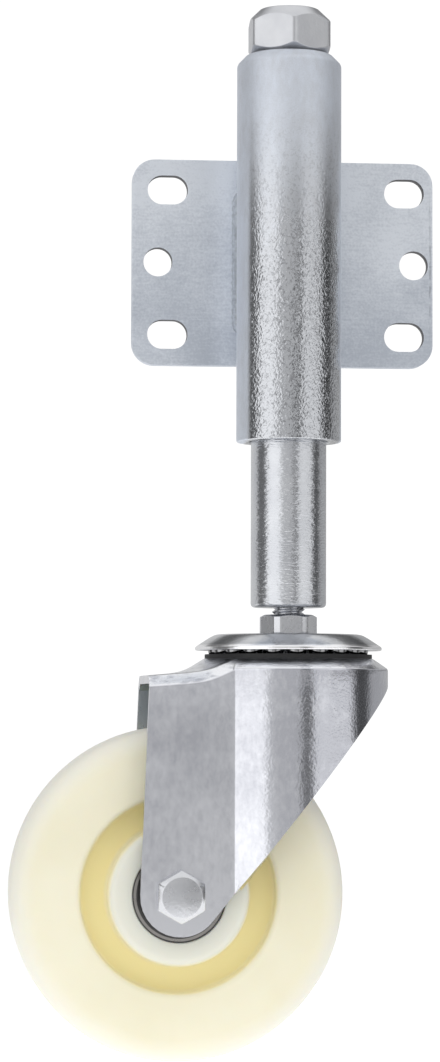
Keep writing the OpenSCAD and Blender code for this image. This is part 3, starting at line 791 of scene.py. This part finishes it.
# The near half of the sheet in plan as (point, way out), from the leg's rear to the crown's front
leg_xs = [mixed(-shelf_reach, crown_back, step / shelf_steps) for step in range(shelf_steps)]
leg_xs += [mixed(crown_back, crease_x, step / leg_steps) for step in range(leg_steps + 1)]
plan = [(Vector((leg_x, -leg_face)), Vector((0.0, -1.0))) for leg_x in leg_xs]
for step in range(1, crease_steps):
    turn = mixed(math.pi / 2, crease_end - math.pi, step / crease_steps)
    away = Vector((math.cos(turn), math.sin(turn)))
    plan.append((crease_centre + away * crease_r, -away))
for step in range(skirt_steps + 1):
    turn = mixed(crease_end, 2 * math.pi, step / skirt_steps)
    away = Vector((math.cos(turn), math.sin(turn)))
    plan.append((away * crown_r, away))

axle_x = axle_at.x - slide_at.x
rear_top = crown_height(-shelf_reach, leg_face - fold_in) - fold_drop
lip = Vector((crown_r, crown_top - lip_drop))
axle_spot = Vector((axle_x, axle_at.z))


def touch(point, side):
    """The angle on the leg's round end at which a line from the point just touches it."""
    to_point = point - axle_spot
    return math.atan2(to_point.y, to_point.x) + side * math.acos(leg_end_r / to_point.length)


rear_turn = touch(Vector((-shelf_reach, rear_top)), 1)
front_turn = touch(lip, -1) + 2 * math.pi
front_touch = axle_spot + leg_end_r * Vector((math.cos(front_turn), math.sin(front_turn)))
rake = (lip.y - front_touch.y) / (lip.x - front_touch.x)
round_run = leg_end_r * (front_turn - rear_turn)
rake_run = (crease_x - front_touch.x) * math.hypot(1.0, rake)


def leg_foot(share):
    """A point on a leg's cut edge, from the rear of its round end to the crease."""
    run = share * (round_run + rake_run)
    if run < round_run:
        turn = rear_turn + run / leg_end_r
        return axle_spot + leg_end_r * Vector((math.cos(turn), math.sin(turn)))
    ahead = (run - round_run) / math.hypot(1.0, rake)
    return front_touch + Vector((ahead, ahead * rake))


def sheet_point(column, row):
    """The near half of the sheet's outer face, from a leg's foot over the fold to the middle."""
    spot, outward = plan[column]
    inner = spot - outward * fold_in
    level = crown_height(inner.x, inner.y)
    if row > wall_rows + fold_rows:
        share = (row - wall_rows - fold_rows) / top_rows
        across = inner.y * (1.0 - share)
        return Vector((inner.x, across, crown_height(inner.x, across)))
    if row > wall_rows:
        inward, drop = fold[row - wall_rows]
        bent = spot - outward * inward
        return Vector((bent.x, bent.y, level - drop))
    if spot.x > crease_x + close:
        foot = Vector((spot.x, lip.y + (spot.x - lip.x) * rake))
    else:
        foot = leg_foot((spot.x + shelf_reach) / (crease_x + shelf_reach))
    wall = foot.lerp(Vector((spot.x, level - fold_drop)), row / wall_rows)
    return Vector((wall.x, spot.y, wall.y))


fork = bmesh.new()
last_column = len(plan) - 1
bmesh.ops.create_grid(fork, x_segments=last_column, y_segments=2 * half_rows, size=1.0)
for vert in fork.verts:
    column = round((vert.co.x + 1.0) / 2 * last_column)
    row = round((vert.co.y + 1.0) * half_rows)
    point = sheet_point(column, min(row, 2 * half_rows - row))
    if row > half_rows:
        point.y = -point.y
    vert.co = point + Vector((slide_at.x, slide_at.y, 0.0))
bmesh.ops.remove_doubles(fork, verts=fork.verts[:], dist=close)
bmesh.ops.dissolve_degenerate(fork, edges=fork.edges[:], dist=close)
bmesh.ops.recalc_face_normals(fork, faces=fork.faces[:])
bmesh.ops.solidify(fork, geom=fork.faces[:], thickness=fork_t)
bmesh.ops.recalc_face_normals(fork, faces=fork.faces[:])


def drilled(mesh, cutters):
    """Cuts the closed cutter meshes out of a mesh with Boolean modifiers, and returns the result."""
    blank = bpy.data.meshes.new("blank")
    mesh.to_mesh(blank)
    mesh.free()
    work = bpy.data.objects.new("work", blank)
    bpy.context.scene.collection.objects.link(work)
    drills = []
    for cutter in cutters:
        shape = bpy.data.meshes.new("drill")
        cutter.to_mesh(shape)
        cutter.free()
        drill = bpy.data.objects.new("drill", shape)
        bpy.context.scene.collection.objects.link(drill)
        cut = work.modifiers.new("cut", "BOOLEAN")
        cut.object = drill
        cut.operation = "DIFFERENCE"
        cut.solver = "EXACT"
        drills.append(drill)
    bpy.context.view_layer.update()
    result = bmesh.new()
    result.from_object(work, bpy.context.evaluated_depsgraph_get())
    for spare in [work] + drills:
        bpy.data.objects.remove(spare)
    return result


def pillar(radius, length, at):
    """A closed cylinder, to cut a round hole with."""
    mesh = bmesh.new()
    bmesh.ops.create_cone(
        mesh, cap_ends=True, segments=64, radius1=radius, radius2=radius, depth=length, matrix=at
    )
    return mesh


axle_hole_r = 0.00415
crown_hole_r = 0.009
cut_edge_deg = 65
cut_edge_round = 0.0003
lying = Matrix.Translation(axle_at) @ Matrix.Rotation(-math.pi / 2, 4, "X")
crown_at = Matrix.Translation((slide_at.x, slide_at.y, crown_top))
axle_cutter = pillar(axle_hole_r, 4 * leg_face, lying)
crown_cutter = pillar(crown_hole_r, 4 * fork_t, crown_at)
fork = drilled(fork, (axle_cutter, crown_cutter))
soften(fork, sharp_edges(fork, cut_edge_deg), cut_edge_round, 2)

# How far each point of the sheet faces up, for the painted light from above to read
lean = fork.verts.layers.float.new("lean")
fork.normal_update()
for vert in fork.verts:
    vert[lean] = vert.normal.z
fork_bright = (0.82, 0.83, 0.875)
fork_dull = (0.60, 0.61, 0.66)
fork_inner_shade = (0.60, 0.645, 0.675)
top_light_pale = (0.93, 0.94, 0.97)
inner_leg = leg_face - fork_t
inner_crown = crown_r - fork_t
skin_from = 0.0001
skin_to = 0.0004
roof_drop = 0.008
roof_fade = 0.0005
fork_zinc, shader, place = new_finish("fork_zinc", metal)
own = place.moved((slide_at.x, slide_at.y, crown_top))
aside = own.math("ABSOLUTE", own.part(1))
forward = own.part(0)
reach = own.flat_length(in_plan)
# Faces between the legs and under the crown are painted a darker blue-grey: painted shade inside the fork.
crown_skin = reach.step(inner_crown + skin_from, inner_crown + skin_to) * forward.step(crease_x, 0.0)
below_roof = 1 - own.part(2).step(-roof_drop - roof_fade, -roof_drop)
between_legs = 1 - aside.step(inner_leg + skin_from, inner_leg + skin_to)
shaded_inside = between_legs * below_roof * (1 - crown_skin)
haze = place.noise(0.012, detail=3.0)
smudge = place.moved(scale=(1.0, 1.0, 1.7)).noise(0.0016, detail=4.0)
top_light = place.node("ShaderNodeAttribute", {"attribute_name": "lean"}, output=2).step(0.35, 0.75)

# Brighter down by the axle, duller round the crown's front, and patchy all over
near_axle = 1 - own.part(2).step(-0.075, -0.02)
front = forward.step(-0.012, -0.002)
patchy_tone = haze * 1.4 + smudge * 1.2 + front * 0.35 - near_axle * 0.6 - 0.62
folded = shaded_inside.tint(patchy_tone.tint(fork_bright, fork_dull), fork_inner_shade)
# Faces that look up are painted pale, in patches: painted light from above.
top_light_patches = place.moved(scale=(3.0, 3.0, 1.0)).noise(0.0014, detail=3.0).step(0.48, 0.72)
top_light.tint(folded, top_light_patches.tint(top_light_pale, fork_dull)).feed(shader, "Base Color")
(haze * 0.08 + smudge * 0.06 + shaded_inside * 0.12 + top_light * 0.08 + 0.10).feed(shader, "Roughness")
peel = place.noise(0.0008, detail=2.0)
wave = place.noise(0.005, detail=1.0)
drawn = forward.step(crease_x - 0.001, crease_x + 0.002)
(peel * (drawn * 0.6 + 0.14) + wave * (drawn * 0.8 + 0.2)).bump(0.00007).feed(shader, "Normal")
add_piece("folded_fork", fork, fork_zinc, "caster_fork", "bright_zinc", "fork", sharp_deg=18)

# Dust seal
# A moulded ring of black rubber, seated on the crown and turning with the fork.
# It keeps grit out of the upper balls.
seal_rubber = patchy_finish(
    "seal_rubber", {"Specular IOR Level": 0.4}, patch=0.003,
    dark=(0.012, 0.012, 0.013), pale=(0.035, 0.035, 0.036), rough=0.5, rough_swing=0.2,
)
dress("dust_seal", seal_rubber)

# Axle bolt, nut and sleeve
# A hexagon bolt through both legs, drawn up by a hexagon nut on a steel sleeve that keeps the legs
# apart. Bolt and nut are cold headed and zinc plated; the sleeve is plain steel.
bolt_low, bolt_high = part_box("axle_bolt")
axle_nut_low, axle_nut_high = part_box("axle_nut")
bolt_across = bolt_high.x - bolt_low.x
head_face = axle_at.y - leg_face
head_tall = head_face - bolt_low.y
axle_r = 0.004
axle_pitch = 0.00125
axle_root_r = axle_r - axle_pitch * deep_share
head_seat = (0.94, 0.0002)
head_crown = (0.86, 0.0018)
head_corner = 0.0004
facing = Matrix.Translation((axle_at.x, head_face, axle_at.z)) @ Matrix.Rotation(math.pi / 2, 4, "X")
head_at = facing @ Matrix.Rotation(math.pi / 2, 4, "Z")
bolt = placed(hexagon(bolt_across, head_tall, 0.0, head_seat, head_crown, head_corner), head_at)
shank_start = head_face - axle_at.y - head_tall / 2
shank_end = bolt_high.y - axle_at.y
shank_outline = (
    (0.0, shank_start, 0.0),
    (axle_r, shank_start, 0.0),
    (axle_r, leg_face, 0.0),
    (axle_root_r, leg_face, 0.0),
    (axle_root_r, shank_end, 0.0003),
    (0.0, shank_end, 0.0),
)
join(bolt, turned(shank_outline, lying, steps=64))
join(bolt, placed(threaded(axle_r, leg_face, shank_end - axle_pitch, axle_pitch), lying))
add_piece("hexagon_bolt", bolt, nut_zinc, "caster_fork", "bright_zinc", "axle_bolt", sharp_deg=12)

far_seat = (0.94, 0.0004)
far_crown = (0.9, 0.0014)
far_corner = 0.0005
far_depth = axle_nut_high.y - axle_nut_low.y
far_spot = (axle_at.x, axle_nut_low.y, axle_at.z)
far_at = Matrix.Translation(far_spot) @ Matrix.Rotation(-math.pi / 2, 4, "X")
axle_nut = placed(hexagon(bolt_across, far_depth, axle_r, far_seat, far_crown, far_corner), far_at)
add_piece("locking_nut", axle_nut, nut_zinc, "caster_fork", "bright_zinc", "axle_nut", sharp_deg=12)
dress("axle_sleeve", dark_steel)

# Wheel bearings
# Two shielded ball bearings pressed into the hub, one at each face. Races and balls are hardened
# and ground steel, the cages pressed strip, and the thin shields darker plain steel.


def from_axle(place):
    """Distance from the axle's line."""
    return place.moved(tuple(axle_at)).flat_length((1.0, 0.0, 1.0))


bearing_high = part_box("near_outer_race")[1]
seat_r = bearing_high.x - axle_at.x
ground_from = 0.0003
ground_to = 0.0013
edge_fade = 0.0002
gap_shade_dark = (0.05, 0.05, 0.052)
ground_pale = (0.40, 0.385, 0.365)
ground_steel, shader, place = new_finish("ground_steel", metal)
oil = place.noise(0.004, detail=3.0)
radius = from_axle(place)
# The race face is pale only between two dark rings, at its outer edge and beside the fork's leg: painted shade in
# the gaps.
ground = radius.step(seat_r - ground_to, seat_r - ground_to + edge_fade)
ground = ground * (1 - radius.step(seat_r - ground_from - edge_fade, seat_r - ground_from))
(oil * 0.25 + ground * 0.75).tint(gap_shade_dark, ground_pale).feed(shader, "Base Color")
(oil * 0.15 + 0.22).feed(shader, "Roughness")
for side in ("near", "far"):
    for node in ("inner_race", "outer_race", "ball_cage"):
        dress(f"{side}_{node}", ground_steel)
    dress(f"{side}_bearing_balls", ball_steel)
    dress(f"{side}_bearing_shields", dark_steel)

# Wheel
# One moulding of cast nylon, turned smooth on its tread: a thick rim and a hub joined by a web.
# It has yellowed to cream. The recess between rim and hub is painted a deeper yellow: the painted glow of light
# through the thin web.
wheel_low, wheel_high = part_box("wheel")
tread_r = wheel_high.x - axle_at.x
hub_half = (wheel_high.y - wheel_low.y) / 2
rim_half = 0.016
web_half = 0.010
hub_r = 0.0211
rim_inner_r = 0.0293
seat_floor = axle_at.y - bearing_high.y
bore_through_r = 0.009
wheel_half_outline = (
    (bore_through_r, seat_floor, 0.0003),
    (seat_r, seat_floor, 0.0),
    (seat_r, hub_half, 0.0004),
    (hub_r, hub_half, 0.0026),
    (hub_r, web_half, 0.0014),
    (rim_inner_r, web_half, 0.0014),
    (rim_inner_r, rim_half, 0.0018),
    (tread_r, rim_half, 0.007),
)
far_half_outline = tuple(
    (radius, -level, rounding) for radius, level, rounding in reversed(wheel_half_outline)
)
milky_deep = (0.825, 0.785, 0.60)
milky_pale = (0.86, 0.825, 0.655)
edge_sheen_cream = (0.84, 0.825, 0.735)
hub_cream = (0.75, 0.75, 0.665)
recess_glow_yellow = (0.90, 0.795, 0.41)
edge_width = 0.008
cream_nylon, shader, place = new_finish(
    "cream_nylon",
    {
        "Subsurface Weight": 0.25,
        "Subsurface Radius": (0.004, 0.003, 0.0018),
        "Subsurface Scale": 1.0,
        "Specular IOR Level": 0.45,
        "IOR": 1.53,
    },
)

# The recess's yellow and the pale of the hub fade out over the rounded corners beside them; the yellow is the
# painted glow of light through the thin web
radius = from_axle(place)
in_recess = radius.step(hub_r - 0.0004, hub_r + 0.0014)
in_recess = in_recess * (1 - radius.step(rim_inner_r - 0.0012, rim_inner_r + 0.0008))
on_hub = 1 - radius.step(hub_r - 0.0009, hub_r - 0.0001)
cloud = place.noise(0.03, detail=3.0)
milky_tint = cloud.step(0.3, 0.7).tint(milky_deep, milky_pale)
# Whiter towards the tread's rounded edges: painted sheen.
edge_sheen = radius.step(tread_r - edge_width, tread_r)
body_tint = edge_sheen.tint(milky_tint, edge_sheen_cream)
hub_tint = on_hub.tint(body_tint, hub_cream)
in_recess.tint(hub_tint, recess_glow_yellow).feed(shader, "Base Color")
pebble = place.noise(0.0012, detail=2.0)
(pebble * 0.12 + 0.36).feed(shader, "Roughness")
(pebble + cloud * 0.5).bump(0.00002).feed(shader, "Normal")
wheel = turned(wheel_half_outline + far_half_outline, lying, 180)
add_piece("nylon_wheel", wheel, cream_nylon, "road_wheel", "cream_nylon", "wheel")

# Studio
# A pale round table under the wheel, one soft key light above the camera, and a room of bright and
# dark wall bands with a dark cove high up behind, which the plating reflects. The camera itself sees
# an even white background in place of the room.
floor_r = 0.28
floor = bmesh.new()
floor_at = Matrix.Translation((axle_at.x, axle_at.y, wheel_low.z))
bmesh.ops.create_circle(floor, cap_ends=True, segments=128, radius=floor_r, matrix=floor_at)
floor_data = bpy.data.meshes.new("studio_floor")
floor.to_mesh(floor_data)
floor.free()
floor_paint = new_finish(
    "floor_paint",
    {
        "Base Color": (0.6, 0.6, 0.6, 1.0),
        "Roughness": 0.8,
        "Specular IOR Level": 0.1,
        "Emission Color": (1.0, 1.0, 1.0, 1.0),
        "Emission Strength": 0.75,
    },
)[0]
floor_data.materials.append(floor_paint)
studio_floor = bpy.data.objects.new("studio_floor", floor_data)
bpy.context.scene.collection.objects.link(studio_floor)

camera_yaw = math.radians(5.4)
camera_pitch = math.radians(2.98)
camera_roll = math.radians(0.16)
camera_away = 1.0
look_at = Vector((-0.02096, slide_at.y, -0.08419))
photo_height_px = 1062
focal_px = 3286.9
sensor = 36.0

# Brightness of the room round the camera's direction: degrees to the right, level
low_levels = (
    (-180, 0.70), (-116, 0.70), (-106, 0.15), (-76, 0.15), (-70, 1.25), (-28, 1.25), (-22, 0.60),
    (13, 0.60), (17, 0.12), (25, 0.12), (30, 0.95), (76, 0.95),
    (82, 0.08), (100, 0.08), (110, 0.50), (180, 0.50),
)
high_levels = (
    (-180, 0.70), (-116, 0.70), (-106, 0.24), (-76, 0.24), (-70, 0.90), (-28, 0.90),
    (-22, 0.70), (16, 0.70), (46, 0.66),
    (52, 0.04), (110, 0.04), (120, 0.16), (150, 0.30), (180, 0.50),
)
overhead_level = 0.95
cove_level = 0.2
background_level = 1.05
world = bpy.data.worlds.new("studio")
world.use_nodes = True
tree = world.node_tree
sky = Shade(tree, tree.nodes.new("ShaderNodeTexCoord").outputs["Generated"])
bearing = sky.math("ARCTAN2", sky.part(0), 0 - sky.part(1))
around = (bearing + camera_yaw) * (0.5 / math.pi) + 0.5
turned_share = around.math("FRACT", around)


def wall_row(levels):
    """One row of the room's walls; the ramp holds half of each level."""
    stops = [((degrees + 180) / 360, level / 2) for degrees, level in levels]
    return turned_share.node("ShaderNodeValToRGB", {"stops": stops}, {0: turned_share}) * 2


# The high row of walls, the ceiling and the cove each begin and end at a share of the way up
rise = sky.part(2)
high_row = rise.step(0.06, 0.10) * (1 - rise.step(0.13, 0.165))
walls = wall_row(low_levels) * (1 - high_row) + wall_row(high_levels) * high_row
ceiling = rise.step(0.45, 0.8)
cove = sky.part(1).step(0.2, 0.5) * rise.step(0.40, 0.50) * (1 - rise.step(0.70, 0.80))
lit = (walls * (1 - ceiling) + ceiling * overhead_level) * (1 - cove * (1 - cove_level))
seen = sky.node("ShaderNodeLightPath")
background = tree.nodes["Background"]
(lit * (1 - seen) + seen * background_level).feed(background, "Strength")
background.inputs["Color"].default_value = (1.0, 1.0, 1.0, 1.0)
scene = bpy.context.scene
scene.world = world
scene.view_settings.view_transform = "Standard"

key = bpy.data.lights.new("key_softbox", "AREA")
key.shape = "RECTANGLE"
key.size = 1.4
key.size_y = 0.7
key.energy = 2.3
key_light = bpy.data.objects.new("key_softbox", key)
key_light.visible_glossy = False
key_from = Vector((-0.15, -0.80, 0.72))
key_light.location = key_from
key_light.rotation_euler = (look_at - key_from).to_track_quat("-Z", "Y").to_euler()
scene.collection.objects.link(key_light)

ahead = Vector((
    math.sin(camera_yaw) * math.cos(camera_pitch),
    math.cos(camera_yaw) * math.cos(camera_pitch),
    math.sin(camera_pitch),
))
level_right = Vector((math.cos(camera_yaw), -math.sin(camera_yaw), 0.0))
level_up = level_right.cross(ahead)
camera_right = level_right * math.cos(camera_roll) + level_up * math.sin(camera_roll)
camera_up = camera_right.cross(ahead)
lens = bpy.data.cameras.new("camera")
lens.sensor_width = sensor
lens.lens = focal_px / photo_height_px * sensor
lens.clip_start = 0.01
camera = bpy.data.objects.new("camera", lens)
aim = Matrix((camera_right, camera_up, -ahead)).transposed().to_4x4()
camera.matrix_world = Matrix.Translation(look_at - ahead * camera_away) @ aim
scene.collection.objects.link(camera)
scene.camera = camera
